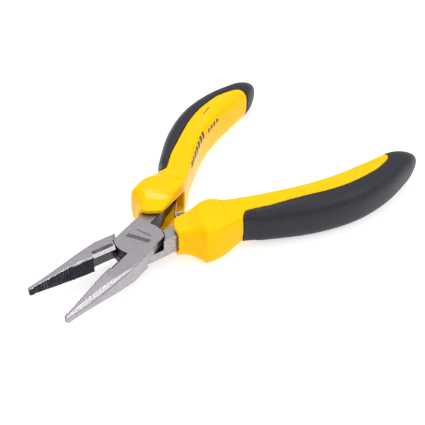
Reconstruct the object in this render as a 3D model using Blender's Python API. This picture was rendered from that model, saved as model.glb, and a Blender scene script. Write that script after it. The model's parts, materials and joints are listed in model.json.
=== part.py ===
"""Mini needle nose pliers with side cutters, a riveted lap joint and a return spring.

They lie flat, held open by the spring. Each half is drawn in its own closed pose, with the pivot at
(0, 0, 0), jaws to -X and handles to +X, and an empty on the pivot turns it open. The upper half has
its jaw on -Y and its handle on +Y, the lower half mirrors it in plan with its lap below, and the
box of the whole object stands centred on the world's origin. Sizes are in metres.
"""

import math

import bmesh
import bpy
from mathutils import Vector

# Overall sizes, from the pivot
JAW_REACH = 0.0325
HANDLE_REACH = 0.0925
OPEN_HALF_ANGLE = math.radians(11.7)

# Jaws
STEEL_HALF_THICKNESS = 0.0027
TIP_HALF_THICKNESS = 0.0010
TIP_WIDTH = 0.0012
TIP_FLAT = 0.0010
JAW_WIDTH = 0.0056
JAW_DRAFT = 0.0004
JAW_START = 0.0010
NOSE_START = 0.0107
GRIPPING_END = 0.0137

# Side cutters: height of the edge, width of its short bevel and of the relief below it
CUTTER_EDGE_HEIGHT = 0.0019
CUTTER_BEVEL = 0.0012
CUTTER_RELIEF = 0.0020
RELIEF_SPREAD = 0.0006

# Lap joint
LAP_RADIUS = 0.0068
LAP_HALF_WIDTH = 0.0054
LAP_CLEARANCE = 0.00015
RIVET_RADIUS = 0.0022

# Tang: the steel bar inside each handle. Past the shoulder it follows the middle of these ribs
TANG_WIDTH = 0.0045
TANG_STEP_OUT = 0.0001
TANG_START = 0.0035
NECK_END = 0.0115
SHOULDER = (0.0220, 0.0054)
TANG_RIBS = (7, 8, 9, 9.6)

# Sleeve front and flare
FLAT_HALF_THICKNESS = 0.0063
SLEEVE_FRONT = 0.0101
FRONT_WALL = 0.0018
FLARE_RISE = 0.0008
WAIST = 0.0292
POCKET_END = 0.0240
POCKET_MOUTH_WIDTH = 0.0048
POCKET_END_WIDTH = 0.0058

# Sections of the front, from the sleeve's front edge back: inner x and y, outer x and y. After them
# come the outer wall over the steel or under the flat, and how square the section is
RIM = (0.0015, 0.0, -0.0015, 0.0067)
THROAT = (0.0055, 0.0, 0.0003, 0.0082)
FLARE_FOOT = (0.0092, 0.0, 0.0020, 0.0097)
FLARE_FRONT = (0.0108, 0.0, 0.0034, 0.0126)
FLARE_CREST = (0.0134, 0.0, 0.0062, 0.0136)
FLARE_BACK = (0.0162, 0.0010, 0.0105, 0.0132)
SQUARE = 12.0
HALF_SQUARE = 5.0
OUTER_SQUARE = 4.0

# Sections of the body: shares of the way from the waist to the end with the inner y and the outer y,
# then the half thickness
WAIST_SECTION = (0.0, 0.0023, -0.041, 0.0119, 0.0056)
BODY_SECTIONS = [
    (0.12, 0.0052, 0.06, 0.0151, 0.0058),
    (0.32, 0.0090, 0.27, 0.0207, 0.0064),
    (0.51, 0.0107, 0.49, 0.0236, 0.0065),
    (0.68, 0.0107, 0.70, 0.0228, 0.0062),
    (0.85, 0.0104, 0.88, 0.0197, 0.0053),
    (0.93, 0.0112, 0.95, 0.0180, 0.0041),
    (0.985, 0.0129, 0.994, 0.0161, 0.0022),
]
ROUND = 2.7

# Soft grip: its wall, and its border with the sleeve in plan, as shares along the body and y
GRIP_WALL = 0.0016
GRIP_BORDER = [
    (-0.038, 0.0112),
    (0.005, 0.0099),
    (0.18, 0.0136),
    (0.38, 0.0167),
    (0.52, 0.0178),
    (0.65, 0.0174),
    (0.74, 0.0161),
    (0.80, 0.0143),
    (0.82, 0.0120),
    (0.83, 0.0050),
]
GRIP_AREA_SIDE = 0.0350
CORE_FIRST_RIB = 4
CORE_LAST_RIB = 12

# Return spring
SPRING_X = 0.0162
SPRING_RADIUS = 0.00155
WIRE_RADIUS = 0.00025
SPRING_TURNS = 4
SPRING_PITCH = 0.0007
SPRING_LEG = 0.0055
SPRING_LEG_ANGLE = math.radians(41)

# What touches keeps this gap, and the two closed halves face each other across twice HALF_GAP
GAP = 0.0003
HALF_GAP = 0.00015
PAST = 0.002

LAP_SIDES = 48
RING_POINTS = 24
RIB_STEPS = 2
JAW_STEPS = 7
COIL_SIDES = 14

STEEL = ("forged_steel", (0.62, 0.61, 0.63, 1.0), 0.35, 1.0)
RIVET = ("rivet_steel", (0.60, 0.60, 0.62, 1.0), 0.3, 1.0)
WIRE = ("spring_wire", (0.75, 0.73, 0.70, 1.0), 0.25, 1.0)
YELLOW = ("yellow_plastic", (0.95, 0.62, 0.0, 1.0), 0.3, 0.0)
GREY = ("grey_soft_plastic", (0.055, 0.055, 0.07, 1.0), 0.75, 0.0)


def clear_scene():
    for obj in list(bpy.data.objects):
        bpy.data.objects.remove(obj, do_unlink=True)


def material(name, color, roughness, metallic):
    made = bpy.data.materials.get(name)
    if made is None:
        made = bpy.data.materials.new(name)
        made.use_nodes = True
        shader = made.node_tree.nodes["Principled BSDF"]
        shader.inputs["Base Color"].default_value = color
        shader.inputs["Roughness"].default_value = roughness
        shader.inputs["Metallic"].default_value = metallic
        made.diffuse_color = color
    return made


def add_object(name, data, frame, look=None):
    """Puts a mesh or a curve in the scene: a node when it has a look, else a hidden helper."""
    obj = bpy.data.objects.new(name, data)
    bpy.context.scene.collection.objects.link(obj)
    obj.parent = frame
    if look:
        data.materials.append(material(*look))
    else:
        obj.hide_render = True
        obj.display_type = "WIRE"
    return obj


def loft(name, rings):
    """A closed mesh through rings of points, all with the same count, capped at both ends."""
    shape = bmesh.new()
    rows = [[shape.verts.new(point) for point in ring] for ring in rings]
    shape.faces.new(rows[0])
    shape.faces.new(rows[-1])
    for row, following in zip(rows, rows[1:]):
        for i in range(len(row)):
            j = (i + 1) % len(row)
            shape.faces.new((row[i], row[j], following[j], following[i]))
    bmesh.ops.recalc_face_normals(shape, faces=shape.faces)
    mesh = bpy.data.meshes.new(name)
    shape.to_mesh(mesh)
    shape.free()
    return mesh


def prism(name, outline, low, high):
    """A plan outline extruded from one height to another."""
    return loft(name, [[(x, y, z) for x, y in outline] for z in (low, high)])


def combine(target, other, operation):
    step = target.modifiers.new(f"{operation.lower()} {other.name}", "BOOLEAN")
    step.operation = operation
    step.object = other
    step.solver = "EXACT"


def smooth(obj, degrees=30):
    obj.data.shade_smooth()
    obj.data.set_sharp_from_angle(angle=math.radians(degrees))


def turned(point, angle):
    x, y = point
    return (x * math.cos(angle) - y * math.sin(angle), x * math.sin(angle) + y * math.cos(angle))


def mix(a, b, t):
    return a + (b - a) * t


def spline(rows, t):
    """A Catmull-Rom curve through equally spaced rows of numbers, at t in row counts."""
    i = min(int(t), len(rows) - 2)
    u = t - i
    before = rows[max(i - 1, 0)]
    after = rows[min(i + 2, len(rows) - 1)]
    out = []
    for p0, p1, p2, p3 in zip(before, rows[i], rows[i + 1], after):
        bend = 2 * p0 - 5 * p1 + 4 * p2 - p3 + (3 * p1 - p0 - 3 * p2 + p3) * u
        out.append(p1 + 0.5 * u * (p2 - p0 + u * bend))
    return out


# Steel halves


def jaw_section(x):
    """Flat-top width, outer width and half thickness of a jaw at distance x from the pivot."""
    if x <= NOSE_START:
        return JAW_WIDTH - JAW_DRAFT, JAW_WIDTH, STEEL_HALF_THICKNESS
    t = (x - NOSE_START) / (JAW_REACH - NOSE_START)
    flat = mix(TIP_FLAT, JAW_WIDTH - JAW_DRAFT, (1 - t) ** 2.8)
    outer = mix(TIP_WIDTH, JAW_WIDTH, (1 - t ** 1.25))
    thick = mix(TIP_HALF_THICKNESS, STEEL_HALF_THICKNESS, 1 - t ** 1.8)
    return flat, outer, thick


def jaw_ring(x, side):
    flat, outer, thick = jaw_section(x)
    points = [(HALF_GAP, -thick), (HALF_GAP, thick), (flat, thick)]
    for step in range(1, 6):
        a = math.radians(90 - 30 * step)
        points.append((flat + (outer - flat) * math.cos(a), thick * math.sin(a)))
    points.append((flat, -thick))
    return [(-x, -side * y, z) for y, z in points]


def jaw_mesh(name, side):
    distances = [JAW_START, LAP_RADIUS, NOSE_START]
    for step in range(1, JAW_STEPS + 1):
        distances.append(mix(NOSE_START, JAW_REACH, step / JAW_STEPS))
    return loft(name, [jaw_ring(x, side) for x in distances])


def circle(radius):
    turns = [2 * math.pi * i / LAP_SIDES for i in range(LAP_SIDES)]
    return [(radius * math.cos(a), radius * math.sin(a)) for a in turns]


def lap_outline():
    """A disc with its two sides cut flat."""
    return [(x, max(-LAP_HALF_WIDTH, min(LAP_HALF_WIDTH, y))) for x, y in circle(LAP_RADIUS)]


def tang_centre(side):
    """The centre line of the steel handle, from inside the lap to the end of the tang."""
    neck = LAP_HALF_WIDTH + TANG_STEP_OUT - TANG_WIDTH / 2
    beside_spring = SPRING_RADIUS + WIRE_RADIUS + GAP + TANG_WIDTH / 2
    route = [(TANG_START, neck), (NECK_END, neck), (SPRING_X, beside_spring), SHOULDER]
    for rib in TANG_RIBS:
        inner_x, inner_y, outer_x, outer_y, *_ = spline(ribs(), rib)
        route.append(((inner_x + outer_x) / 2, (inner_y + outer_y) / 2))
    return [(x, side * y) for x, y in route]


def band(route, width):
    """The outline of a strip of this width along a route."""
    left, right = [], []
    for i, (x, y) in enumerate(route):
        ahead = route[min(i + 1, len(route) - 1)]
        behind = route[max(i - 1, 0)]
        along = Vector((ahead[0] - behind[0], ahead[1] - behind[1])).normalized()
        left.append((x - along.y * width / 2, y + along.x * width / 2))
        right.append((x + along.y * width / 2, y - along.x * width / 2))
    return left + right[::-1]


def cutter_section(side):
    """The space cut away beside a blade: above its edge a short bevel, below it a deep relief."""
    top = STEEL_HALF_THICKNESS
    return [
        (side * PAST, -top - PAST),
        (-side * (CUTTER_RELIEF + RELIEF_SPREAD), -top - PAST),
        (-side * CUTTER_RELIEF, -top),
        (-side * HALF_GAP, CUTTER_EDGE_HEIGHT),
        (-side * CUTTER_BEVEL, top),
        (-side * CUTTER_BEVEL, top + PAST),
        (side * PAST, top + PAST),
    ]


def steel_half(name, side, frame):
    """One forging: jaw, half-thickness lap and tang. Side 1 is the upper half, -1 the lower."""
    half = add_object(name, jaw_mesh(name, side), frame, STEEL)
    low, high = sorted((-side * PAST / 4, side * STEEL_HALF_THICKNESS))
    lap = add_object(f"{name}_lap", prism("lap", lap_outline(), low, high), frame)
    strip = band(tang_centre(side), TANG_WIDTH)
    tang = prism("tang", strip, -STEEL_HALF_THICKNESS, STEEL_HALF_THICKNESS)
    tang = add_object(f"{name}_tang", tang, frame)
    low, high = sorted((side * LAP_CLEARANCE, -side * (STEEL_HALF_THICKNESS + PAST)))
    seat = prism("seat", circle(LAP_RADIUS + LAP_CLEARANCE), low, high)
    seat = add_object(f"{name}_seat", seat, frame)
    deep = STEEL_HALF_THICKNESS + PAST
    hole = prism("hole", circle(RIVET_RADIUS + GAP), -deep, deep)
    hole = add_object(f"{name}_hole", hole, frame)
    ends = (-GRIPPING_END, -LAP_RADIUS - LAP_CLEARANCE)
    cut = loft("cut", [[(x, y, z) for y, z in cutter_section(side)] for x in ends])
    cut = add_object(f"{name}_cut", cut, frame)
    combine(half, lap, "UNION")
    combine(half, tang, "UNION")
    combine(half, seat, "DIFFERENCE")
    combine(half, hole, "DIFFERENCE")
    combine(half, cut, "DIFFERENCE")


# Sleeves and grips


def ribs():
    """Sections of a handle: inner x and y, outer x and y, half thickness, inner and outer squareness."""
    wall = STEEL_HALF_THICKNESS + FRONT_WALL
    flare = FLAT_HALF_THICKNESS + FLARE_RISE
    front = [
        (RIM, wall, SQUARE),
        (THROAT, wall, SQUARE),
        (FLARE_FOOT, mix(wall, flare, 0.5), SQUARE),
        (FLARE_FRONT, flare, SQUARE),
        (FLARE_CREST, flare, SQUARE),
        (FLARE_BACK, flare, HALF_SQUARE),
    ]
    rows = []
    for (inner_x, inner_y, outer_x, outer_y), thick, square in front:
        ends = (SLEEVE_FRONT + inner_x, inner_y + HALF_GAP, SLEEVE_FRONT + outer_x, outer_y)
        rows.append((*ends, thick, square, OUTER_SQUARE))
    body = HANDLE_REACH - WAIST
    for inner_share, inner_y, outer_share, outer_y, thick in [WAIST_SECTION] + BODY_SECTIONS:
        ends = (WAIST + inner_share * body, inner_y, WAIST + outer_share * body, outer_y)
        rows.append((*ends, thick, ROUND, ROUND))
    return rows


def handle_ring(row, inset, side, shift=0.0):
    """A rounded section with flat top and bottom, inset by a wall."""
    inner = Vector(row[0:2])
    outer = Vector(row[2:4])
    centre = (inner + outer) / 2
    across = (outer - inner) / 2
    across *= 1 - inset / across.length
    thick = row[4] - inset
    flat = FLAT_HALF_THICKNESS - inset
    ring = []
    for i in range(RING_POINTS):
        a = 2 * math.pi * (i + 0.5) / RING_POINTS
        power = 2 / (row[5] if math.cos(a) < 0 else row[6])
        u = math.copysign(abs(math.cos(a)) ** power, math.cos(a))
        w = math.copysign(abs(math.sin(a)) ** power, math.sin(a)) * thick
        w = max(-flat, min(flat, w))
        ring.append((centre.x + u * across.x + shift, side * (centre.y + u * across.y), w))
    return ring


def handle_loft(name, side, inset=0.0, first=0, last=None, overrun=0.0):
    rows = ribs()
    if last is None:
        last = len(rows) - 1
    steps = range(first * RIB_STEPS, last * RIB_STEPS + 1)
    rings = [handle_ring(spline(rows, step / RIB_STEPS), inset, side) for step in steps]
    if overrun:
        rings.append(handle_ring(spline(rows, last), inset, side, overrun))
    return loft(name, rings)


def grip_outline(side, grow=0.0):
    """The plan area that the soft grip covers: the handle's outer side and its whole end."""
    body = HANDLE_REACH - WAIST
    border = [(WAIST + share * body - grow, y - grow) for share, y in GRIP_BORDER]
    past = HANDLE_REACH + PAST
    around = [(past, border[-1][1]), (past, GRIP_AREA_SIDE), (border[0][0], GRIP_AREA_SIDE)]
    return [(x, side * y) for x, y in border + around]


def handle(name_sleeve, name_grip, side, frame):
    deep = FLAT_HALF_THICKNESS + PAST
    sleeve = add_object(name_sleeve, handle_loft("sleeve", side), frame, YELLOW)
    area = prism("area", grip_outline(side, GAP), -deep, deep)
    area = add_object(f"{name_sleeve}_grip_area", area, frame)
    core = handle_loft("core", side, GRIP_WALL + GAP, CORE_FIRST_RIB, CORE_LAST_RIB)
    core = add_object(f"{name_sleeve}_core", core, frame)
    height = STEEL_HALF_THICKNESS + GAP
    front = SLEEVE_FRONT - 2 * PAST
    route = tang_centre(side)
    route[0] = (front, route[0][1])
    route[-1] = (route[-1][0] + GAP, route[-1][1])
    channel = prism("channel", band(route, TANG_WIDTH + 2 * GAP), -height, height)
    channel = add_object(f"{name_sleeve}_channel", channel, frame)
    inner = -side * PAST
    mouth = (front, side * POCKET_MOUTH_WIDTH)
    back = (POCKET_END, side * POCKET_END_WIDTH)
    corners = [(front, inner), (POCKET_END, inner), back, mouth]
    pocket = prism("pocket", corners, -height - GAP / 2, height + GAP / 2)
    pocket = add_object(f"{name_sleeve}_pocket", pocket, frame)
    combine(sleeve, area, "DIFFERENCE")
    combine(sleeve, core, "UNION")
    combine(sleeve, channel, "DIFFERENCE")
    combine(sleeve, pocket, "DIFFERENCE")
    smooth(sleeve)

    grip = add_object(name_grip, handle_loft("grip", side), frame, GREY)
    area = prism("area", grip_outline(side), -deep, deep)
    area = add_object(f"{name_grip}_area", area, frame)
    inside = handle_loft("inside", side, GRIP_WALL, CORE_FIRST_RIB, CORE_LAST_RIB, GAP)
    inside = add_object(f"{name_grip}_inside", inside, frame)
    combine(grip, area, "INTERSECT")
    combine(grip, inside, "DIFFERENCE")
    combine(grip, channel, "DIFFERENCE")
    smooth(grip)


# Rivet and spring


def rivet(name, frame):
    high = STEEL_HALF_THICKNESS
    obj = add_object(name, prism("rivet", circle(RIVET_RADIUS), -high, high), frame, RIVET)
    smooth(obj)


def spring_points():
    """The wire from the lower leg's end, up round the coil, to the upper leg's end."""
    leave = math.radians(90) + SPRING_LEG_ANGLE
    sweep = 2 * math.pi * (SPRING_TURNS + 1) - 2 * leave
    count = round(COIL_SIDES * sweep / (2 * math.pi))
    height = SPRING_PITCH * sweep / (2 * math.pi)
    coil = []
    for i in range(count + 1):
        a = -leave - sweep * i / count
        across = Vector((math.cos(a), math.sin(a), 0)) * SPRING_RADIUS
        coil.append(across + Vector((SPRING_X, 0, height * (i / count - 0.5))))
    leg = Vector((math.cos(SPRING_LEG_ANGLE), math.sin(SPRING_LEG_ANGLE), 0)) * SPRING_LEG
    mirrored = Vector((leg.x, -leg.y, 0))
    return [coil[0] + mirrored] + coil + [coil[-1] + leg]


def return_spring(name, frame):
    points = spring_points()
    curve = bpy.data.curves.new(name, "CURVE")
    curve.dimensions = "3D"
    curve.bevel_depth = WIRE_RADIUS
    curve.bevel_resolution = 1
    curve.use_fill_caps = True
    line = curve.splines.new("POLY")
    line.points.add(len(points) - 1)
    for point, place in zip(line.points, points):
        point.co = (*place, 1)
    add_object(name, curve, frame, WIRE)


# Assembly


def add_frame(name, location, angle):
    frame = bpy.data.objects.new(name, None)
    bpy.context.scene.collection.objects.link(frame)
    frame.location = location
    frame.rotation_euler.z = angle
    return frame


def main():
    clear_scene()
    tip = turned((-JAW_REACH, -HALF_GAP), OPEN_HALF_ANGLE)
    end = turned((HANDLE_REACH, ribs()[-1][3]), OPEN_HALF_ANGLE)
    pivot = ((-tip[0] - end[0]) / 2, 0.0, FLAT_HALF_THICKNESS)
    upper = add_frame("upper_pivot", pivot, OPEN_HALF_ANGLE)
    lower = add_frame("lower_pivot", pivot, -OPEN_HALF_ANGLE)
    middle = add_frame("pivot", pivot, 0.0)
    steel_half("upper_half", 1, upper)
    steel_half("lower_half", -1, lower)
    rivet("pivot_rivet", middle)
    return_spring("return_spring", middle)
    handle("upper_sleeve", "upper_grip", 1, upper)
    handle("lower_sleeve", "lower_grip", -1, lower)


main()
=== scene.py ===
"""Mini needle nose pliers: the looks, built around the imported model."""

import json
import math

import bpy
import numpy as np
from bpy.props import FloatProperty, FloatVectorProperty, IntProperty, PointerProperty
from mathutils import Matrix, Vector


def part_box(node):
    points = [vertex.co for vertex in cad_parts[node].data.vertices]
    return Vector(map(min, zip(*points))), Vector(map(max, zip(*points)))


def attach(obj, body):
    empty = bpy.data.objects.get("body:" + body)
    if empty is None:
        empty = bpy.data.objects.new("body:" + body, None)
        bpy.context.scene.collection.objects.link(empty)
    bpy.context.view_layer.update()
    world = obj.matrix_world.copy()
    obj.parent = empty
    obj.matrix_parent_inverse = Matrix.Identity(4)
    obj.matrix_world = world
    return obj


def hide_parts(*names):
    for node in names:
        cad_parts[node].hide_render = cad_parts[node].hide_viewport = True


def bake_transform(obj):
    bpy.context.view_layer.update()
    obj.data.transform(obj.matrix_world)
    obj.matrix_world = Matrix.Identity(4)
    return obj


bl_info = {
    "name": "Needle Nose Pliers",
    "version": (1, 0, 0),
    "blender": (4, 5, 0),
    "location": "3D Viewport > Sidebar > Pliers",
    "description": "Builds mini needle nose pliers with dipped handles around their packed model",
    "category": "Object",
}

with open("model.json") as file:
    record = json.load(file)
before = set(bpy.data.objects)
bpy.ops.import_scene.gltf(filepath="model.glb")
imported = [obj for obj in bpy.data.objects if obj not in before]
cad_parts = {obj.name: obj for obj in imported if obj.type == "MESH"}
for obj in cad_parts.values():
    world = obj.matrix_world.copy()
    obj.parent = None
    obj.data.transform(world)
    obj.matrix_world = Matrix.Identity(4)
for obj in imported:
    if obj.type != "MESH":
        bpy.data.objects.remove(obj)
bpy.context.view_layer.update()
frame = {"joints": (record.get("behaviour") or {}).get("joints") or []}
JOINT = frame["joints"][0]
PIVOT = Vector(JOINT["pos_m"])
OPEN_ANGLE = math.radians(JOINT["range_deg"][1]) / 2
RIVET_LOW, RIVET_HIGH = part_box("pivot_rivet")

MM = 0.001
UPPER, LOWER = 1, -1
NAMES = {UPPER: "upper", LOWER: "lower"}

# How far a cutting shape reaches past what it cuts, and its half height where it goes right through
PAST = 2.0
THROUGH_STEEL = 6.0
THROUGH_HANDLE = 9.0

# A finished mesh with fewer faces than this has been lost in a cut
LEAST_FACES = 100

# Forged halves, in millimetres from the pivot, closed, with the jaws on -X
STEEL_HALF = (RIVET_HIGH.z - RIVET_LOW.z) / 2 / MM
RIVET_RADIUS = (RIVET_HIGH.x - RIVET_LOW.x) / 2 / MM
JAW_REACH = 32.5
TIP_HALF = 1.0
TIP_WIDTH = 1.4
TIP_FLAT = 1.15
JAW_SIDE = 5.6
JAW_FLAT = 5.25
NOSE_START = 10.7
NOSE_STATIONS = 22
TAPER_START = 16.2
BLOCK_CHAMFER = 0.42
FACE_CHAMFER = 0.05
GRIP_END = 13.9
TEETH_END = 20.0
FACE_GAP = 0.08
TIP_ROUND = 0.12
TIP_EASE = 0.2
TIP_PLAIN = 0.7
CUTTER_STEP = 1.05
CUTTER_STEP_DEPTH = 0.08
CUTTER_EDGE = 1.85
CUTTER_RELIEF = 2.0
RELIEF_SLOPE = 0.4
CUTTER_PLAY = 0.05
LAP_RADIUS = 6.8
JAW_ROOT = (1.0, 4.0, LAP_RADIUS, 9.0)
LAP_SIDE = 5.45
LAP_GAP = 0.12
LAP_OVERLAP = 0.6
SEAT_PLAY = 0.06
TANG_WIDTH = 4.5
NECK_MIDDLE = LAP_SIDE - TANG_WIDTH / 2
TANG_ROUTE = [(3.5, NECK_MIDDLE), (11.5, NECK_MIDDLE), (16.2, 4.35), (22.0, 5.4)]
TANG_RIBS = (10, 11, 12, 12.6)
ROUTE_STEPS = 60
STEEL_VOXEL, STEEL_PASSES = 0.12, 6
RIVET_SEAT = 0.2
RIVET_PROUD = 0.004
RIVET_RINGS = 60
RIVET_CENTRE = 0.02

# How strongly a jaw's flat top, outer side and thickness curve on their way to the tip
FLAT_CURVE = 1.35
SIDE_CURVE = 1.25
TAPER_CURVE = 1.15

# The ground facet and the corner below it, as parts of the width between a jaw's flat top and its
# outer side: how wide, how steep, how much further down, and how round each of them is
FACET_WIDTH = 0.86
FACET_DROP = 0.90
CORNER_DROP = 0.42
FACET_ROUND = 0.2
CORNER_START = 0.9
SECTION_POINTS = 9

# Teeth: the part of the depth left at the tip, and a tooth's foot and crest as parts of the pitch
TOOTH_FADE = 0.6
TOOTH_FOOT = (0.40, 0.55)
TOOTH_CREST = 0.95

# The two plain bars across the joint: middle x, half width, half length and lean
ETCHED_BARS = [(2.4, 0.24, 2.35, -0.05), (-0.25, 0.74, 3.5, 0.13)]

# How deep into a half each blackened, worn or milled stretch reaches, in millimetres; the blackened neck
# walls are painted shade, the lighter crests partly a painted highlight
GRIPPING_DEPTH = 2.9
TOOTHED_DEPTH = 0.42
STEP_DEPTH = 2.6
MILLED_DEPTH = 2.3
WORN_DEPTH = 0.6
CREST_DEPTH = 0.13
NECK_WIDTH = 8.5

# Where the milled strip ends before the pivot, how far short of the tip the bright crests end, the
# radius from which the joint's rim counts, and how far past a plane or an edge a vertex still counts
MILLED_END = 7.3
CREST_END = 1.3
RIM_START = 2.6
PLANE_SLACK = 0.5
EDGE_SLACK = 0.1

# How black the worn strip and the crests of the teeth are, about 0.5 being half worn away; the crests are
# left lighter partly as wear and partly as a painted highlight
WORN = 0.5
CREST_WEAR_AND_HIGHLIGHT = 0.59

# Moulded handles, in millimetres: inner x and y, outer x and y, half thickness, then how square
# the inner and the outer side of the section are
HANDLE_END = 92.5
FLAT_HALF = PIVOT.z / MM
HANDLE_RIBS = [
    (8.6, 0.0, 5.4, 6.3, 4.5, 12, 4.0),
    (12.6, 0.0, 9.2, 6.5, 4.55, 12, 4.0),
    (15.4, 0.0, 10.9, 7.8, 4.9, 12, 4.0),
    (17.8, 0.0, 12.4, 9.6, 5.6, 12, 4.0),
    (19.7, 0.0, 13.9, 12.3, 6.6, 12, 4.4),
    (22.3, 0.0, 17.0, 12.9, 6.55, 12, 4.2),
    (24.5, 0.5, 20.5, 12.85, 6.35, 9, 3.8),
    (26.5, 1.3, 23.5, 12.5, 5.55, 8, 3.5),
    (29.4, 2.4, 27.0, 11.9, 5.3, 7, 3.2),
    (32.6, 3.7, 30.0, 13.1, 5.55, 6, 3.0),
    (36.8, 5.2, 33.0, 15.1, 5.8, 5, 2.8),
    (49.5, 9.0, 46.3, 20.7, 6.4, 4.2, 2.7),
    (61.5, 10.7, 60.2, 23.6, 6.5, 3.8, 2.7),
    (72.2, 10.7, 73.5, 22.8, 6.2, 3.4, 2.7),
    (83.0, 10.4, 84.9, 19.7, 5.3, 3.0, 2.6),
    (88.1, 11.2, 89.3, 18.0, 4.1, 2.6, 2.5),
    (91.0, 12.4, 91.7, 16.6, 2.7, 2.3, 2.3),
    (91.9, 13.3, 92.4, 15.7, 1.5, 2.1, 2.1),
]

# The rib at the flare's sharp crest, and the ribs between which the sleeve's core runs in the grip
CREST = 4
FIRST_BODY_RIB = 6
LAST_BODY_RIB = 15

# In plan: what is cut out of a sleeve's front round the joint, and the border of a grip
RIM = [
    (5.0, 9.5), (8.5, 8.4), (8.75, 6.9), (8.95, 3.7),
    (10.3, 1.5), (11.9, -0.4), (12.2, -1.5), (5.0, -1.5),
]
GRIP_BORDER = [
    (26.8, 12.2), (27.0, 11.2), (28.2, 10.2), (29.5, 9.95), (35.4, 12.2),
    (41.1, 13.7), (47.8, 15.5), (53.9, 17.0), (62.0, 18.0), (71.1, 17.6),
    (76.2, 16.4), (80.0, 14.9), (81.6, 13.3), (81.9, 10.5), (82.0, 5.0),
]
BORDER_STEPS = 120
GRIP_INNER, GRIP_OUTER = 5.0, 35.0

# The tang's channel, the spring's pocket, the seam between sleeve and grip, and the walls
CHANNEL_PLAY = 0.12
POCKET_START, POCKET_END = 6.0, 24.0
POCKET_WIDTHS = (4.8, 5.8)
POCKET_MORE = 0.3
SEAM = 0.14
GRIP_PROUD = 0.10
WALL = 1.6
PLASTIC_VOXEL, SLEEVE_PASSES, GRIP_PASSES = 0.22, 12, 6

# Return spring: the legs' angle in degrees, the pitch in wire radii, the steps of a turn and of a
# leg, and the length and the width of the domed wire ends in wire radii
SPRING_LEG_DEGREES = 41
SPRING_PITCH = 2.6
TURN_STEPS = 36
LEG_STEPS = 12
DOME_LENGTH, DOME_WIDTH = 0.4, 0.55

# Print: how far a dash leans as a part of its tallness, then, in millimetres, how far the ink
# stands proud and reaches down, and each dash's distance along, height, length and tallness
PRINT_POINTS = 6
PRINT_LEAN = 0.35
PRINT_PROUD, PRINT_SUNK = 0.03, 0.15
PRINT_DASHES = [
    (36.0, 3.5, 1.5, 1.8), (38.3, 3.7, 1.5, 1.8), (40.6, 3.9, 1.5, 1.8), (42.9, 4.1, 1.5, 1.8),
    (45.2, 4.3, 1.5, 1.8), (47.5, 4.5, 1.5, 1.8), (49.8, 4.6, 1.5, 1.8),
    (54.4, 3.9, 1.4, 1.1), (56.6, 3.9, 1.4, 1.1), (58.8, 3.9, 1.4, 1.1), (61.0, 3.9, 1.4, 1.1),
]
PRINTED_LINE = [(59.5, 14.75), (64.2, 15.35), (64.2, 15.65), (59.5, 15.05)]
LINE_PROUD, LINE_SUNK = 0.02, 0.3

# The points of a fine section of the handle, and those of them on the inner side's upper part
FINE_SECTION = 400
INNER_UPPER = slice(120, 201)

# Colour and roughness of etched and milled marks, and how fine the pits in the steel are
MARK_COLOR = (0.055, 0.05, 0.052)
MARK_ROUGHNESS = 0.55
PITS_PER_METRE = 4200

# Stage, in metres, with the camera's offset from the joint in millimetres
FLOOR_HEIGHT = -0.00015
FLOOR_HALF = 30.0
CAMERA_AZIMUTH = math.radians(-49.21)
CAMERA_ELEVATION = math.radians(37.76)
CAMERA_ROLL = math.radians(1.35)
CAMERA_OFFSET = (-111.88, -122.42, 139.33)
SENSOR_WIDTH = 36.0

# Softboxes: name, direction from the joint, width and height in metres, and radiance
LIGHT_DISTANCE = 0.9
LIGHTS = [
    ("overhead", (0.09, 0.20, 0.97), (0.26, 0.20), 17.0),
    ("strip", (0.35, -0.69, 0.64), (0.72, 0.46), 1.8),
    ("fill", (-0.62, -0.50, 0.60), (0.7, 0.5), 0.8),
]

# Brightness of the sky by height: 0 is straight below, 0.5 the horizon and 1 straight above
SKY = [(0.0, 1.0), (0.525, 1.0), (0.54, 0.05), (0.63, 0.06), (0.71, 0.90), (1.0, 0.97)]


# Settings


class PliersForging(bpy.types.PropertyGroup):
    tooth_pitch: FloatProperty(
        name="Tooth pitch",
        description="Distance between two cross teeth, in mm",
        default=0.70,
    )
    tooth_depth: FloatProperty(
        name="Tooth depth",
        description="Depth of the cross teeth, in mm",
        default=0.45,
    )
    steel: FloatVectorProperty(
        name="Ground steel",
        description="Colour of the ground steel",
        subtype="COLOR",
        default=(0.43, 0.407, 0.438),
    )
    oxide: FloatVectorProperty(
        name="Black oxide",
        description="Colour of the blackened faces",
        subtype="COLOR",
        default=(0.013, 0.014, 0.019),
    )


class PliersHandle(bpy.types.PropertyGroup):
    yellow: FloatVectorProperty(
        name="Sleeve",
        description="Colour of the moulded sleeves",
        subtype="COLOR",
        default=(0.98, 0.52, 0.0),
    )
    grey: FloatVectorProperty(
        name="Grip",
        description="Colour of the soft grips",
        subtype="COLOR",
        default=(0.017, 0.018, 0.026),
    )
    print_ink: FloatVectorProperty(
        name="Print",
        description="Colour of the printed dashes",
        subtype="COLOR",
        default=(0.045, 0.035, 0.02),
    )


class PliersSpring(bpy.types.PropertyGroup):
    centre_x: FloatProperty(
        name="Coil centre",
        description="Distance of the coil from the pivot, in mm",
        default=16.2,
    )
    radius: FloatProperty(
        name="Coil radius",
        description="Radius of the coil's centre line, in mm",
        default=1.55,
    )
    wire: FloatProperty(
        name="Wire radius",
        description="Radius of the spring wire, in mm",
        default=0.25,
    )
    turns: IntProperty(
        name="Turns",
        description="Turns of the coil, before the legs' share comes off",
        default=5,
    )
    leg: FloatProperty(
        name="Leg",
        description="Length of each leg, in mm",
        default=5.8,
    )


class PliersStage(bpy.types.PropertyGroup):
    focal: FloatProperty(
        name="Focal length",
        description="Lens of the camera, in mm",
        default=67.4,
    )
    glow: FloatProperty(
        name="Floor glow",
        description="Light the lit floor panel gives off by itself",
        default=0.58,
    )
    floor: FloatVectorProperty(
        name="Floor",
        description="Colour of the floor",
        subtype="COLOR",
        default=(0.62, 0.62, 0.62),
    )


# Meshes


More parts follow.
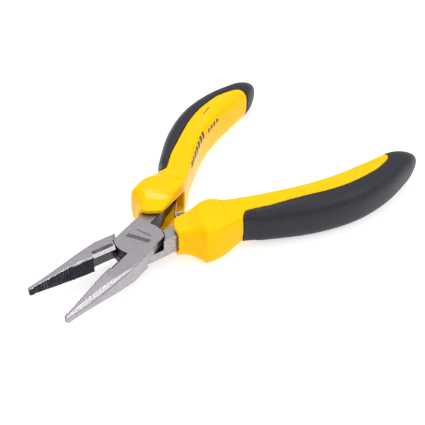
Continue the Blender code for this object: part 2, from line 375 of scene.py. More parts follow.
def mix(a, b, t):
    return a + (b - a) * t


def spline(rows, t):
    """A Catmull-Rom curve through equally spaced rows of numbers, at t in row counts."""
    i = min(int(t), len(rows) - 2)
    u = t - i
    p0, p1, p2, p3 = (np.array(rows[k], float) for k in (max(i - 1, 0), i, i + 1, min(i + 2, len(rows) - 1)))
    return p1 + 0.5 * u * (p2 - p0 + u * (2 * p0 - 5 * p1 + 4 * p2 - p3 + u * (3 * p1 - p0 - 3 * p2 + p3)))


def handle_row(t):
    """The handle's section at t in rib counts, with a sharp corner at the flare's crest."""
    if t <= CREST:
        return spline(HANDLE_RIBS[:CREST + 1], t)
    return spline(HANDLE_RIBS[CREST:], t - CREST)


def helper(name, mesh):
    obj = bpy.data.objects.new(name, mesh)
    bpy.context.scene.collection.objects.link(obj)
    return obj


def skin(name, rings):
    """A closed mesh through rings of points, all with the same count, capped at both ends."""
    points = np.array(rings, float)
    count, around = points.shape[:2]
    faces = [list(range(around))[::-1], [(count - 1) * around + i for i in range(around)]]
    for k in range(count - 1):
        for i in range(around):
            j = (i + 1) % around
            faces.append([k * around + i, k * around + j, (k + 1) * around + j, (k + 1) * around + i])
    corners = points.reshape(-1, 3)
    triangles = [(face[0], face[i], face[i + 1]) for face in faces for i in range(1, len(face) - 1)]
    volume = np.linalg.det(corners[np.array(triangles)]).sum()
    if volume < 0:
        faces = [face[::-1] for face in faces]
    mesh = bpy.data.meshes.new(name)
    mesh.from_pydata(corners.tolist(), [], faces)
    return mesh


def loft(name, rings):
    return helper(name, skin(name, rings))


def prism_rings(outline, low, high):
    return [[(x, y, z) for x, y in outline] for z in (low, high)]


def prism(name, outline, low, high):
    return loft(name, prism_rings(outline, low, high))


def combine(target, other, operation):
    step = target.modifiers.new(other.name, "BOOLEAN")
    step.operation = operation
    step.object = other
    step.solver = "EXACT"


def finished(obj, voxel, passes, extras):
    """Applies what is on obj, with its edges rounded as a casting's are, and removes the helpers."""
    rounding = obj.modifiers.new("rounding", "REMESH")
    rounding.mode = "VOXEL"
    rounding.voxel_size = voxel
    easing = obj.modifiers.new("easing", "SMOOTH")
    easing.iterations = passes
    bpy.context.view_layer.update()
    graph = bpy.context.evaluated_depsgraph_get()
    mesh = bpy.data.meshes.new_from_object(obj.evaluated_get(graph))
    if len(mesh.polygons) < LEAST_FACES:
        raise RuntimeError(f"{obj.name} lost its surface")
    for extra in [obj] + extras:
        bpy.data.objects.remove(extra)
    return mesh


def settle(name, mesh, side, body, slot_name, look, *nodes):
    """Puts a mesh drawn closed, in millimetres, at its place on its body."""
    turn = Matrix.Rotation(side * OPEN_ANGLE, 4, "Z")
    mesh.transform(Matrix.Translation(PIVOT) @ turn @ Matrix.Scale(MM, 4))
    mesh.name = name
    mesh.materials.clear()
    mesh.materials.append(look)
    mesh.shade_smooth()
    obj = helper(name, mesh)
    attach(obj, body)
    if nodes:
        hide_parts(*nodes)
    return obj


def circle(radius, sides=160):
    turns = [2 * math.pi * i / sides for i in range(sides)]
    return [(radius * math.cos(a), radius * math.sin(a)) for a in turns]


# Forged halves


def jaw_section(x):
    """Flat-top width, outer width and half thickness of a jaw at distance x from the pivot."""
    t = max(0.0, (x - NOSE_START) / (JAW_REACH - NOSE_START))
    taper = max(0.0, (x - TAPER_START) / (JAW_REACH - TAPER_START))
    flat = mix(TIP_FLAT, JAW_FLAT, (1 - t) ** FLAT_CURVE)
    outer = mix(TIP_WIDTH, JAW_SIDE, 1 - t ** SIDE_CURVE)
    return flat, outer, mix(TIP_HALF, STEEL_HALF, 1 - taper ** TAPER_CURVE)


def jaw_ring(x, side, inner):
    """A jaw's section, with flat top and bottom and a facet and a rounded corner on each outer edge."""
    flat, outer, thick = jaw_section(x)
    width = outer - flat
    facet_end = (flat + FACET_WIDTH * width, thick - FACET_DROP * width)
    corner = facet_end[1] - CORNER_DROP * width
    edge = BLOCK_CHAMFER if GRIP_END < x < TEETH_END else FACE_CHAMFER
    upper = []
    for t in np.linspace(0, 1, SECTION_POINTS):
        fall = (1 - FACET_ROUND) * t + FACET_ROUND * t * t
        upper.append((mix(flat, facet_end[0], t), mix(thick, facet_end[1], fall)))
    for t in np.linspace(0, 1, SECTION_POINTS)[1:]:
        out = 2 * t - t * t
        fall = CORNER_START * t + (1 - CORNER_START) * t * t
        upper.append((mix(facet_end[0], outer, out), mix(facet_end[1], corner, fall)))
    points = [(inner + edge, -thick), (inner, edge - thick), (inner, thick - edge), (inner + edge, thick)]
    points += upper + [(y, -z) for y, z in upper[::-1]]
    return [(-x, -side * y, z) for y, z in points]


def jaw(side, settings):
    """A jaw from inside the lap to its blunt tip, with cross teeth on the front of its gripping face."""
    stations = [(x, FACE_GAP) for x in JAW_ROOT]
    stations += [(x, FACE_GAP) for x in np.linspace(NOSE_START, TEETH_END, NOSE_STATIONS)]
    count = int((JAW_REACH - TIP_PLAIN - TEETH_END) / settings.tooth_pitch)
    for k in range(count):
        start = TEETH_END + k * settings.tooth_pitch
        depth = FACE_GAP + mix(settings.tooth_depth, TOOTH_FADE * settings.tooth_depth, k / count)
        for part in TOOTH_FOOT:
            stations.append((start + part * settings.tooth_pitch, depth))
        stations.append((start + TOOTH_CREST * settings.tooth_pitch, FACE_GAP))
    stations += [(JAW_REACH - TIP_EASE, FACE_GAP), (JAW_REACH, FACE_GAP + TIP_ROUND)]
    return loft("jaw", [jaw_ring(x, side, inner) for x, inner in stations])


def strip(route, width):
    """The outline of a band of this width along a route."""
    route = np.array(route, float)
    along = np.gradient(route, axis=0)
    along /= np.linalg.norm(along, axis=1)[:, None]
    normal = np.column_stack([-along[:, 1], along[:, 0]]) * width / 2
    return np.vstack([route + normal, (route - normal)[::-1]]).tolist()


def tang_route(side):
    ends = list(TANG_ROUTE)
    for rib in TANG_RIBS:
        row = handle_row(rib)
        ends.append(((row[0] + row[2]) / 2, (row[1] + row[3]) / 2))
    fine = [spline(ends, t) for t in np.linspace(0, len(ends) - 1, ROUTE_STEPS)]
    return [(x, side * y) for x, y in fine]


def cutter(side):
    """What is milled away beside a blade: a step, the bright bevel and the deep relief below its edge."""
    top = STEEL_HALF
    section = [
        (PAST, -top - PAST),
        (-CUTTER_RELIEF - RELIEF_SLOPE, -top - PAST),
        (-CUTTER_RELIEF, -top),
        (-FACE_GAP - CUTTER_PLAY, CUTTER_EDGE),
        (-CUTTER_STEP, top - CUTTER_STEP_DEPTH),
        (-CUTTER_STEP, top + PAST),
        (PAST, top + PAST),
    ]
    ends = (-GRIP_END, -LAP_RADIUS - CUTTER_PLAY)
    return loft("cutter", [[(x, side * y, z) for y, z in section] for x in ends])


def forging_mesh(side, settings):
    half = jaw(side, settings)
    lap_plan = [(x, max(-LAP_SIDE, min(LAP_SIDE, y))) for x, y in circle(LAP_RADIUS)]
    lap = prism("lap", lap_plan, *sorted((-side * LAP_OVERLAP, side * STEEL_HALF)))
    tang = prism("tang", strip(tang_route(side), TANG_WIDTH), -STEEL_HALF, STEEL_HALF)
    seat_ends = sorted((side * SEAT_PLAY, -side * (STEEL_HALF + PAST)))
    seat = prism("seat", circle(LAP_RADIUS + LAP_GAP), *seat_ends)
    rivet_hole = prism("rivet_hole", circle(RIVET_RADIUS - RIVET_SEAT), -THROUGH_STEEL, THROUGH_STEEL)
    blade = cutter(side)
    combine(half, lap, "UNION")
    combine(half, tang, "UNION")
    combine(half, seat, "DIFFERENCE")
    combine(half, rivet_hole, "DIFFERENCE")
    combine(half, blade, "DIFFERENCE")
    mesh = finished(half, STEEL_VOXEL, STEEL_PASSES, [lap, tang, seat, rivet_hole, blade])
    mark_finish_and_shade(mesh, side)
    return mesh


def of_vertices(mesh, kind):
    """The x, y and z of every vertex: its place for "co", its normal for "normal"."""
    values = np.empty(len(mesh.vertices) * 3, np.float32)
    mesh.vertices.foreach_get(kind, values)
    return values.reshape(-1, 3).T


def mark_finish_and_shade(mesh, side):
    """Marks where the forging is black oxide, where its necks' inner walls and the joint's rim walls are
    blackened as painted shade, where it is milled and where its joint is etched.

    What facing, radial, level, nx, ny and nz are held against is a part of a normal, from 0 to 1.
    """
    x, y, z = of_vertices(mesh, "co")
    nx, ny, nz = of_vertices(mesh, "normal")
    into, facing = -side * y, side * ny
    radius = np.hypot(x, y)
    radial = np.abs(x * nx + y * ny) / np.maximum(radius, 1e-6)
    level = np.abs(nz)
    on_jaw = x < -LAP_RADIUS
    at_plane = into > -PLANE_SLACK
    gripping = on_jaw & (facing > 0.55) & (into < GRIPPING_DEPTH) & at_plane
    toothed = (x < -TEETH_END + 0.3) & (into < FACE_GAP + TOOTHED_DEPTH) & (level < 0.93)
    bevel = (x > -GRIP_END) & (z > CUTTER_EDGE - EDGE_SLACK) & (nz > 0.3) & on_jaw
    step = (np.abs(x + GRIP_END) < 0.4) & (nx > 0.5) & (into < STEP_DEPTH)
    flat_side = (np.abs(y) > LAP_SIDE - 0.25) & (np.abs(ny) > 0.8)
    # The joint's rim walls and the necks' inner walls are painted black: painted shade for the shade they
    # lie in, in the same black as the oxide.
    shaded_rim_wall = (radius < LAP_RADIUS + 0.6) & (radius > RIM_START) & (radial > 0.72) & (level < 0.6)
    seat = (radius < LAP_RADIUS + EDGE_SLACK) & (np.abs(z) < 0.5) & (level > 0.6)
    shaded_neck_wall = (x > 0.5) & (facing < -0.55) & (side * y < NECK_WIDTH) & (side * y > -PLANE_SLACK)
    black = ((gripping | toothed) & ~bevel) | step | (shaded_rim_wall & ~flat_side) | seat | shaded_neck_wall
    if side == UPPER:
        milled = bevel & (into < CUTTER_STEP)
    else:
        along = (x > -GRIP_END + 0.5) & (x < -MILLED_END)
        milled = along & (into > CUTTER_STEP - 0.05) & (into < MILLED_DEPTH) & (nz > 0.85)
    worn = (x < -GRIP_END) & (x > -TEETH_END) & (facing < 0.9) & (into < WORN_DEPTH)
    teeth = (x < -TEETH_END) & (x > CREST_END - JAW_REACH)
    # The teeth's crests are left lighter: partly wear, partly a painted highlight standing in for the glints
    # on the teeth.
    crest = teeth & (facing > 0.5) & (into < FACE_GAP + CREST_DEPTH)
    oxide = np.where(worn & black, WORN, black)
    save(mesh, "oxide", np.where(crest & black, CREST_WEAR_AND_HIGHLIGHT, oxide))
    save(mesh, "milled", milled)
    save(mesh, "etched", etched_at(x, y) & (nz > 0.9) & (side == UPPER))


def save(mesh, name, mask):
    attribute = mesh.attributes.new(name, "FLOAT", "POINT")
    attribute.data.foreach_set("value", mask.astype(np.float32))


def etched_at(x, y):
    """Where the two plain bars lie that run across the joint."""
    found = np.zeros(len(x), bool)
    for middle, half_width, half_length, lean in ETCHED_BARS:
        found |= (np.abs(x - middle + lean * y) < half_width) & (np.abs(y) < half_length)
    return found


# Moulded handles


def handle_ring(row, side, inset, around=112):
    """A rounded section with flat top and bottom. A negative inset stands proud."""
    inner, outer = Vector(row[0:2]), Vector(row[2:4])
    centre, across = (inner + outer) / 2, (outer - inner) / 2
    across *= 1 - inset / across.length
    thick = row[4] - inset
    flat = FLAT_HALF - inset
    a = 2 * np.pi * (np.arange(around) + 0.5) / around
    power = 2 / np.where(np.cos(a) < 0, row[5], row[6])
    u = np.sign(np.cos(a)) * np.abs(np.cos(a)) ** power
    w = np.sign(np.sin(a)) * np.abs(np.sin(a)) ** power * thick
    w = np.clip(w, -flat, flat)
    y = np.maximum(centre.y + u * across.y, FACE_GAP)
    return np.column_stack([centre.x + u * across.x, side * y, w])


def handle_loft(name, side, inset=0.0, first=0.0, last=None, steps=8):
    last = len(HANDLE_RIBS) - 1 if last is None else last
    stations = np.linspace(first, last, int((last - first) * steps) + 1)
    return loft(name, [handle_ring(handle_row(t), side, inset) for t in stations])


def grip_area(side, grow):
    """The plan of a grip, cut or kept right through the handle. It grows by this much at its border."""
    fine = [spline(GRIP_BORDER, t) for t in np.linspace(0, len(GRIP_BORDER) - 1, BORDER_STEPS)]
    border = [(x - grow, y - grow) for x, y in fine]
    end = HANDLE_END + PAST
    around = [(end, GRIP_INNER), (end, GRIP_OUTER), (border[0][0], GRIP_OUTER)]
    plan = [(x, side * y) for x, y in border + around]
    return prism("grip_area", plan, -THROUGH_HANDLE, THROUGH_HANDLE)


def sleeve_mesh(side):
    sleeve = handle_loft("sleeve", side)
    area = grip_area(side, SEAM)
    core = handle_loft("core", side, WALL + SEAM, FIRST_BODY_RIB, LAST_BODY_RIB)
    front = prism("front", [(x, side * y) for x, y in RIM], -THROUGH_HANDLE, THROUGH_HANDLE)
    high = STEEL_HALF + CHANNEL_PLAY
    beyond = [point for point in tang_route(side) if point[0] > POCKET_START + 0.5]
    route = [(POCKET_START, side * NECK_MIDDLE)] + beyond
    channel = prism("channel", strip(route, TANG_WIDTH + 2 * CHANNEL_PLAY), -high, high)
    near, far = POCKET_WIDTHS
    plan = [(POCKET_START, -PAST), (POCKET_END, -PAST), (POCKET_END, far), (POCKET_START, near)]
    deep = high + POCKET_MORE
    pocket = prism("pocket", [(x, side * y) for x, y in plan], -deep, deep)
    combine(sleeve, area, "DIFFERENCE")
    combine(sleeve, core, "UNION")
    for other in (front, channel, pocket):
        combine(sleeve, other, "DIFFERENCE")
    return finished(sleeve, PLASTIC_VOXEL, SLEEVE_PASSES, [area, core, front, channel, pocket])


def grip_mesh(side):
    grip = handle_loft("grip", side, -GRIP_PROUD)
    area = grip_area(side, 0.0)
    inside = handle_loft("inside", side, WALL, FIRST_BODY_RIB, LAST_BODY_RIB)
    combine(grip, area, "INTERSECT")
    combine(grip, inside, "DIFFERENCE")
    return finished(grip, PLASTIC_VOXEL, GRIP_PASSES, [area, inside])


# Materials


class Nodes:
    """A material's node tree, with short calls to add and link nodes."""

    def __init__(self, name, **sockets):
        self.material = bpy.data.materials.new(name)
        self.material.use_nodes = True
        self.tree = self.material.node_tree
        self.shader = self.tree.nodes["Principled BSDF"]
        for socket, value in sockets.items():
            self.shader.inputs[socket.replace("_", " ")].default_value = value

    def add(self, kind, inputs=(), **settings):
        node = self.tree.nodes.new("ShaderNode" + kind)
        for key, value in settings.items():
            setattr(node, key, value)
        for key, value in dict(inputs).items():
            if isinstance(value, bpy.types.NodeSocket):
                self.tree.links.new(value, node.inputs[key])
            else:
                node.inputs[key].default_value = value
        return node

    def link(self, value, socket):
        self.tree.links.new(value, self.shader.inputs[socket])

    def place(self, turn, scale):
        """The piece's own coordinates, turned about Z and stretched: scale is in counts per metre."""
        coordinates = self.add("TexCoord")
        turned = self.add("Mapping", {"Vector": coordinates.outputs["Object"], "Rotation": (0, 0, turn)})
        return self.add("Mapping", {"Vector": turned.outputs[0], "Scale": scale}).outputs[0]

    def noise(self, vector, scale=1.0, detail=3.0, roughness=0.55):
        values = {"Vector": vector, "Scale": scale, "Detail": detail, "Roughness": roughness}
        return self.add("TexNoise", values).outputs["Fac"]

    def ranged(self, value, low, high, to_low, to_high):
        values = {"Value": value, "From Min": low, "From Max": high, "To Min": to_low, "To Max": to_high}
        return self.add("MapRange", values).outputs[0]

    def blend(self, factor, first, second):
        """A mix of two colours, each a socket or three numbers."""
        colors = []
        for color in (first, second):
            colors.append(color if isinstance(color, bpy.types.NodeSocket) else (*color, 1.0))
        return self.add("Mix", {0: factor, 6: colors[0], 7: colors[1]}, data_type="RGBA").outputs[2]

    def calculate(self, operation, first, second):
        return self.add("Math", {0: first, 1: second}, operation=operation).outputs[0]

    def bump(self, height, strength, distance, normal=None):
        values = {"Height": height, "Strength": strength, "Distance": distance}
        if normal is not None:
            values["Normal"] = normal
        return self.add("Bump", values).outputs[0]


def shade(color, factor):
    return tuple(min(1.0, channel * factor) for channel in color)


def ground_steel(look, turn, settings):
    """Steel ground along the tool: fine lines, a speckled grain and slow clouds.

    Returns its colour, roughness and normal.
    """
    bright, worn, dull = (shade(settings.steel, factor) for factor in (1.1, 0.58, 0.85))
    lines = look.noise(look.place(turn, (300, 6000, 6000)), detail=4.0, roughness=0.6)
    speckle = look.noise(look.place(turn, (1500, 3200, 3200)), detail=4.0, roughness=0.7)
    cloud = look.noise(look.place(0, (420, 420, 420)), detail=4.0)
    steel = look.blend(look.ranged(lines, 0.3, 0.7, 0, 1), shade(settings.steel, 0.86), bright)
    steel = look.blend(look.ranged(speckle, 0.40, 0.62, 0, 0.6), steel, worn)
    steel = look.blend(look.ranged(cloud, 0.4, 0.75, 0, 0.45), steel, dull)
    roughness = look.ranged(speckle, 0.35, 0.65, 0.22, 0.36)
    normal = look.bump(lines, 0.10, 0.00004)
    return steel, roughness, look.bump(speckle, 0.10, 0.00006, normal)


def pitting(look):
    return look.noise(look.place(0, (PITS_PER_METRE,) * 3), detail=3.0)


def etching(look, pits):
    """How dark the etched bars are, a little broken up by the pits."""
    etched = look.add("Attribute", attribute_name="etched").outputs["Fac"]
    broken = look.ranged(pits, 0.35, 0.6, 0.3, 0.95)
    return look.calculate("MULTIPLY", look.ranged(etched, 0.3, 0.7, 0, 1), broken)


def finish_steel(look, color, roughness, normal, dark, pits):
    """Links a steel to its shader, with its dark marks and its pits."""
    look.link(look.blend(dark, color, MARK_COLOR), "Base Color")
    dull = look.calculate("MULTIPLY", dark, MARK_ROUGHNESS)
    look.link(look.calculate("MAXIMUM", roughness, dull), "Roughness")
    look.link(look.bump(pits, 0.10, 0.00006, normal), "Normal")
    return look.material


def forging_look(name, side, settings):
    """Ground steel, black oxide where the forging isn't ground, painted shade in the same black on the
    necks' inner walls and the joint's rim walls, and etched and milled strips.
    """
    look = Nodes(name, Metallic=0.9, Specular_IOR_Level=0.5)
    steel, roughness, normal = ground_steel(look, -side * OPEN_ANGLE, settings)
    cloud = look.noise(look.place(0, (500, 500, 500)), detail=5.0)
    pits = pitting(look)
    oxide = look.blend(look.ranged(pits, 0.35, 0.75, 0, 1), settings.oxide, shade(settings.oxide, 3.0))
    # The oxide attribute holds the black oxide, the painted shade on the neck and rim walls, and the teeth's
    # lighter crests, partly a painted highlight.
    oxide_and_shade = look.add("Attribute", attribute_name="oxide").outputs["Fac"]
    ragged = look.calculate("ADD", oxide_and_shade, look.ranged(cloud, 0.2, 0.8, -0.14, 0.14))
    black = look.ranged(ragged, 0.38, 0.62, 0, 1)
    milled = look.add("Attribute", attribute_name="milled").outputs["Fac"]
    cuts = look.noise(look.place(-side * OPEN_ANGLE, (400, 6500, 900)), detail=2.0)
    scored = look.calculate("MULTIPLY", milled, look.ranged(cuts, 0.4, 0.6, 0.65, 1.0))
    dark = look.calculate("MAXIMUM", etching(look, pits), scored)
    roughness = look.add("Mix", {0: black, 2: roughness, 3: 0.25}).outputs[0]
    return finish_steel(look, look.blend(black, steel, oxide), roughness, normal, dark, pits)


def rivet_look(settings):
    look = Nodes("rivet_steel", Metallic=0.9, Specular_IOR_Level=0.5)
    steel, roughness, normal = ground_steel(look, -OPEN_ANGLE, settings)
    pits = pitting(look)
    return finish_steel(look, steel, roughness, normal, etching(look, pits), pits)


def wire_look():
    look = Nodes("spring_wire", Metallic=1.0)
    drawn = look.noise(look.place(0, (2500, 2500, 2500)), detail=3.0)
    look.link(look.blend(drawn, (0.40, 0.37, 0.34), (0.62, 0.58, 0.54)), "Base Color")
    look.link(look.ranged(drawn, 0.3, 0.7, 0.20, 0.34), "Roughness")
    look.link(look.bump(drawn, 0.05, 0.00002), "Normal")
    return look.material


def sleeve_look(settings):
    """Glossy moulded plastic, with a slight orange peel and flow shading."""
    look = Nodes("yellow_plastic", Specular_IOR_Level=0.04, Coat_Weight=0.11, Coat_Roughness=0.07)
    flow = look.noise(look.place(0, (120, 120, 120)), detail=3.0)
    peel = look.noise(look.place(0, (1800, 1800, 1800)), detail=2.0)
    look.link(look.blend(flow, shade(settings.yellow, 0.95), shade(settings.yellow, 1.04)), "Base Color")
    look.link(look.ranged(peel, 0.3, 0.7, 0.17, 0.25), "Roughness")
    look.link(look.bump(peel, 0.07, 0.00006), "Normal")
    return look.material


def grip_look(settings):
    """Soft matt overmoulding with a fine spark-eroded grain."""
    look = Nodes("grey_soft_plastic", Specular_IOR_Level=0.27)
    grain = look.noise(look.place(0, (2600, 2600, 2600)), detail=4.0, roughness=0.65)
    cloud = look.noise(look.place(0, (300, 300, 300)), detail=4.0)
    dark, pale, clouded = (shade(settings.grey, factor) for factor in (0.62, 1.5, 1.15))
    base = look.blend(look.ranged(grain, 0.35, 0.68, 0, 1), dark, pale)
    look.link(look.blend(look.ranged(cloud, 0.3, 0.7, 0, 0.4), base, clouded), "Base Color")
    look.link(look.ranged(grain, 0.3, 0.7, 0.32, 0.58), "Roughness")
    look.link(look.bump(grain, 0.45, 0.00008), "Normal")
    return look.material


def ink_look(settings):
    look = Nodes("print_ink", Roughness=0.45)
    worn = look.noise(look.place(0, (3500, 3500, 3500)), detail=3.0)
    look.link(look.blend(worn, settings.print_ink, shade(settings.print_ink, 1.8)), "Base Color")
    look.link(look.ranged(worn, 0.3, 0.7, 0.38, 0.5), "Roughness")
    return look.material


# Operators


class PLIERS_OT_forgings(bpy.types.Operator):
    """Build both forged steel halves with their teeth, side cutters and lap joint"""

    bl_idname = "pliers.forgings"
    bl_label = "Forged halves"

    def execute(self, context):
        settings = context.scene.pliers_forging
        for side, name in NAMES.items():
            look = forging_look(f"{name}_steel", side, settings)
            mesh = forging_mesh(side, settings)
            settle(f"{name}_forging", mesh, side, name, "steel", look, f"{name}_half")
        return {"FINISHED"}


class PLIERS_OT_rivet(bpy.types.Operator):
    """Build the rivet, ground flush with the joint"""

    bl_idname = "pliers.rivet"
    bl_label = "Rivet"

    def execute(self, context):
        high = STEEL_HALF + RIVET_PROUD
        radii = np.linspace(RIVET_RADIUS, RIVET_CENTRE, RIVET_RINGS)
        rings = [[(x, y, -high) for x, y in circle(r)] for r in radii[::-1]]
        rings += [[(x, y, high) for x, y in circle(r)] for r in radii]
        mesh = skin("rivet", rings)
        x, y, z = of_vertices(mesh, "co")
        save(mesh, "etched", etched_at(x, y) & (z > 0))
        look = rivet_look(context.scene.pliers_forging)
        obj = settle("flush_rivet", mesh, UPPER, "upper", "rivet", look, "pivot_rivet")
        obj.data.set_sharp_from_angle(angle=math.radians(30))
        return {"FINISHED"}


def spring_path(settings):
    """The wire from the lower leg's end, up round the coil, to the upper leg's end."""
    leave = math.radians(90 + SPRING_LEG_DEGREES)
    sweep = 2 * math.pi * settings.turns - 2 * leave
    pitch = SPRING_PITCH * settings.wire
    height = pitch * sweep / (2 * math.pi)
    count = int(TURN_STEPS * sweep / (2 * math.pi))
    coil = []
    for i in range(count + 1):
        a = -leave - sweep * i / count
        x = settings.centre_x + settings.radius * math.cos(a)
        coil.append((x, settings.radius * math.sin(a), height * (i / count - 0.5)))
    coil = np.array(coil)
    angle = math.radians(SPRING_LEG_DEGREES)
    reach = np.array([math.cos(angle), math.sin(angle), 0]) * settings.leg
    along = np.linspace(0, 1, LEG_STEPS)[1:, None]
    start = coil[0] + reach * (1, -1, 1) * along[::-1]
    return np.vstack([start, coil, coil[-1] + reach * along])


def tube(name, path, radius, sides=16):
    """The mesh of a closed round wire along a path, its ends slightly domed."""
    along = np.gradient(path, axis=0)
    along /= np.linalg.norm(along, axis=1)[:, None]
    up = np.array([0.0, 0.0, 1.0])
    turns = 2 * np.pi * np.arange(sides) / sides
    rings = []
    sizes = np.ones(len(path)) * radius
    first = path[0] - along[0] * DOME_LENGTH * radius
    last = path[-1] + along[-1] * DOME_LENGTH * radius
    path = np.vstack([first, path, last])
    along = np.vstack([along[0], along, along[-1]])
    sizes = np.concatenate([[DOME_WIDTH * radius], sizes, [DOME_WIDTH * radius]])
    for place, direction, size in zip(path, along, sizes):
        side = np.cross(direction, up)
        side /= np.linalg.norm(side)
        over = np.cross(side, direction)
        rings.append([place + size * (math.cos(a) * side + math.sin(a) * over) for a in turns])
    return skin(name, rings)


class PLIERS_OT_return_spring(bpy.types.Operator):
    """Wind the small torsion spring, its two legs reaching out towards the handles"""

    bl_idname = "pliers.return_spring"
    bl_label = "Return spring"

    def execute(self, context):
        settings = context.scene.pliers_spring
        mesh = tube("torsion_spring", spring_path(settings), settings.wire)
        mesh.transform(Matrix.Translation(PIVOT) @ Matrix.Scale(MM, 4))
        mesh.materials.append(wire_look())
        mesh.shade_smooth()
        spring = helper("torsion_spring", mesh)
        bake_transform(spring)
        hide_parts("return_spring")
        return {"FINISHED"}


class PLIERS_OT_sleeves(bpy.types.Operator):
    """Mould the two glossy sleeves with their flares, lips and spring pockets"""

    bl_idname = "pliers.sleeves"
    bl_label = "Sleeves"

    def execute(self, context):
        look = sleeve_look(context.scene.pliers_handle)
        for side, name in NAMES.items():
            mesh = sleeve_mesh(side)
            settle(f"{name}_moulded_sleeve", mesh, side, name, "yellow", look, f"{name}_sleeve")
        return {"FINISHED"}


class PLIERS_OT_grips(bpy.types.Operator):
    """Mould the two soft grips round the handles' outer sides and ends"""

    bl_idname = "pliers.grips"
    bl_label = "Soft grips"

    def execute(self, context):
        look = grip_look(context.scene.pliers_handle)
        for side, name in NAMES.items():
            mesh = grip_mesh(side)
            settle(f"{name}_soft_grip", mesh, side, name, "grey", look, f"{name}_grip")
        return {"FINISHED"}


def surface_point(x, height, side, proud):
    """A point of the handle's inner side, this far along and this high, standing proud of it."""
    rows = np.array(HANDLE_RIBS)[FIRST_BODY_RIB:, 0]
    t = FIRST_BODY_RIB + float(np.interp(x, rows, range(len(rows))))
    inner = handle_ring(handle_row(t), side, -proud, FINE_SECTION)[INNER_UPPER]
    return inner[np.argmin(np.abs(inner[:, 2] - height))]


def dash(x, height, length, tall, side):
    """The mesh of a slanted dash that follows the handle's inner side."""
    rings = []
    lean = PRINT_LEAN * tall
    ups = np.linspace(-tall / 2, tall / 2, PRINT_POINTS)
    for along in np.linspace(0, length, PRINT_POINTS):
        outer, inner = (
            [surface_point(x + along + lean * up / tall, height + up, side, proud) for up in ups]
            for proud in (PRINT_PROUD, -PRINT_SUNK)
        )
        rings.append(outer + inner[::-1])
    return skin("dash", rings)


class PLIERS_OT_print(bpy.types.Operator):
    """Print the plain dashes along the upper handle's inner side, and a short line on top"""

    bl_idname = "pliers.print"
    bl_label = "Printed dashes"

    def execute(self, context):
        look = ink_look(context.scene.pliers_handle)
        for number, values in enumerate(PRINT_DASHES, 1):
            mesh = dash(*values, UPPER)
            settle(f"printed_dash_{number}", mesh, UPPER, "upper", "grey", look)
        rings = prism_rings(PRINTED_LINE, FLAT_HALF - LINE_SUNK, FLAT_HALF + LINE_PROUD)
        settle("printed_line", skin("line", rings), UPPER, "upper", "grey", look)
        return {"FINISHED"}


def soft_light(name, direction, size, radiance):
    """A rectangular softbox that faces the joint from this direction."""
    light = bpy.data.lights.new(name, "AREA")
    light.shape = "RECTANGLE"
    light.size, light.size_y = size
    light.energy = radiance * math.pi * size[0] * size[1]
    obj = bpy.data.objects.new(name, light)
    bpy.context.scene.collection.objects.link(obj)
    obj.location = PIVOT + direction.normalized() * LIGHT_DISTANCE
    obj.rotation_euler = direction.to_track_quat("Z", "Y").to_euler()


def studio_sky(scene):
    """An even pale studio with a dark band just above the horizon."""
    world = bpy.data.worlds.new("studio")
    world.use_nodes = True
    scene.world = world
    tree = world.node_tree
    coordinates = tree.nodes.new("ShaderNodeTexCoord")
    split = tree.nodes.new("ShaderNodeSeparateXYZ")
    height = tree.nodes.new("ShaderNodeMapRange")
    ramp = tree.nodes.new("ShaderNodeValToRGB")
    height.inputs["From Min"].default_value = -1.0
    tree.links.new(coordinates.outputs["Generated"], split.inputs[0])
    tree.links.new(split.outputs["Z"], height.inputs["Value"])
    tree.links.new(height.outputs[0], ramp.inputs[0])
    stops = ramp.color_ramp.elements
    while len(stops) < len(SKY):
        stops.new(0.5)
    for stop, (place, level) in zip(stops, SKY):
        stop.position = place
        stop.color = (level, level, level, 1.0)
    tree.links.new(ramp.outputs["Color"], tree.nodes["Background"].inputs["Color"])


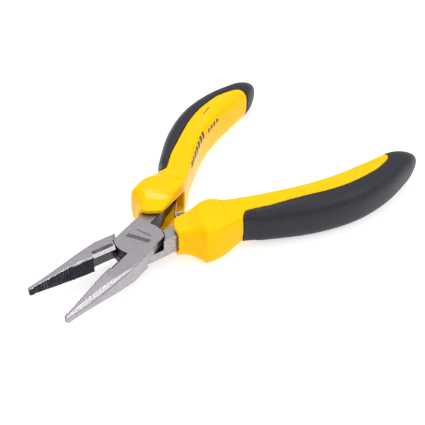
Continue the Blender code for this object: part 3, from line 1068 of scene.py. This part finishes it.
class PLIERS_OT_stage(bpy.types.Operator):
    """Set the pale floor, the soft studio light and the camera"""

    bl_idname = "pliers.stage"
    bl_label = "Stage"

    def execute(self, context):
        settings = context.scene.pliers_stage
        mesh = bpy.data.meshes.new("floor")
        signs = ((-1, -1), (1, -1), (1, 1), (-1, 1))
        corners = [(x * FLOOR_HALF, y * FLOOR_HALF, FLOOR_HEIGHT) for x, y in signs]
        mesh.from_pydata(corners, [], [(0, 1, 2, 3)])
        floor = helper("floor", mesh)
        look = Nodes("pale_floor", Roughness=0.9, Specular_IOR_Level=0.1)
        speck = look.noise(look.place(0, (60, 60, 60)), detail=2.0)
        look.link(look.blend(speck, shade(settings.floor, 0.99), settings.floor), "Base Color")
        look.shader.inputs["Emission Color"].default_value = (1.0, 1.0, 1.0, 1.0)
        look.shader.inputs["Emission Strength"].default_value = settings.glow
        mesh.materials.append(look.material)

        studio_sky(context.scene)
        for name, direction, size, radiance in LIGHTS:
            soft_light(name, Vector(direction), size, radiance)

        camera = bpy.data.cameras.new("camera")
        camera.lens = settings.focal
        camera.sensor_width = SENSOR_WIDTH
        camera.clip_start = 0.01
        obj = bpy.data.objects.new("camera", camera)
        context.scene.collection.objects.link(obj)
        back = Vector((
            math.sin(CAMERA_AZIMUTH) * math.cos(CAMERA_ELEVATION),
            -math.cos(CAMERA_AZIMUTH) * math.cos(CAMERA_ELEVATION),
            math.sin(CAMERA_ELEVATION),
        ))
        right = Vector((math.cos(CAMERA_AZIMUTH), math.sin(CAMERA_AZIMUTH), 0))
        level = Matrix((right, back.cross(right), back)).transposed()
        turned = (level @ Matrix.Rotation(CAMERA_ROLL, 3, "Z")).to_4x4()
        obj.matrix_world = Matrix.Translation(PIVOT + Vector(CAMERA_OFFSET) * MM) @ turned
        context.scene.camera = obj
        context.scene.view_settings.view_transform = "Standard"
        return {"FINISHED"}


class PLIERS_PT_panel(bpy.types.Panel):
    bl_label = "Needle Nose Pliers"
    bl_space_type = "VIEW_3D"
    bl_region_type = "UI"
    bl_category = "Pliers"

    def draw(self, context):
        for operator in OPERATORS:
            self.layout.operator(operator.bl_idname)
        for name in SETTINGS:
            group = getattr(context.scene, name)
            for key in group.__annotations__:
                self.layout.prop(group, key)


OPERATORS = (
    PLIERS_OT_stage,
    PLIERS_OT_forgings,
    PLIERS_OT_rivet,
    PLIERS_OT_return_spring,
    PLIERS_OT_sleeves,
    PLIERS_OT_grips,
    PLIERS_OT_print,
)
SETTINGS = {
    "pliers_forging": PliersForging,
    "pliers_handle": PliersHandle,
    "pliers_spring": PliersSpring,
    "pliers_stage": PliersStage,
}


def register():
    for group in SETTINGS.values():
        bpy.utils.register_class(group)
    for name, group in SETTINGS.items():
        setattr(bpy.types.Scene, name, PointerProperty(type=group))
    for operator in OPERATORS:
        bpy.utils.register_class(operator)
    bpy.utils.register_class(PLIERS_PT_panel)


def unregister():
    bpy.utils.unregister_class(PLIERS_PT_panel)
    for operator in reversed(OPERATORS):
        bpy.utils.unregister_class(operator)
    for name, group in SETTINGS.items():
        delattr(bpy.types.Scene, name)
        bpy.utils.unregister_class(group)


def main():
    register()
    bpy.ops.pliers.stage()
    bpy.ops.pliers.forgings()
    bpy.ops.pliers.rivet()
    bpy.ops.pliers.return_spring()
    bpy.ops.pliers.sleeves()
    bpy.ops.pliers.grips()
    bpy.ops.pliers.print()


if __name__ == "__main__":
    main()
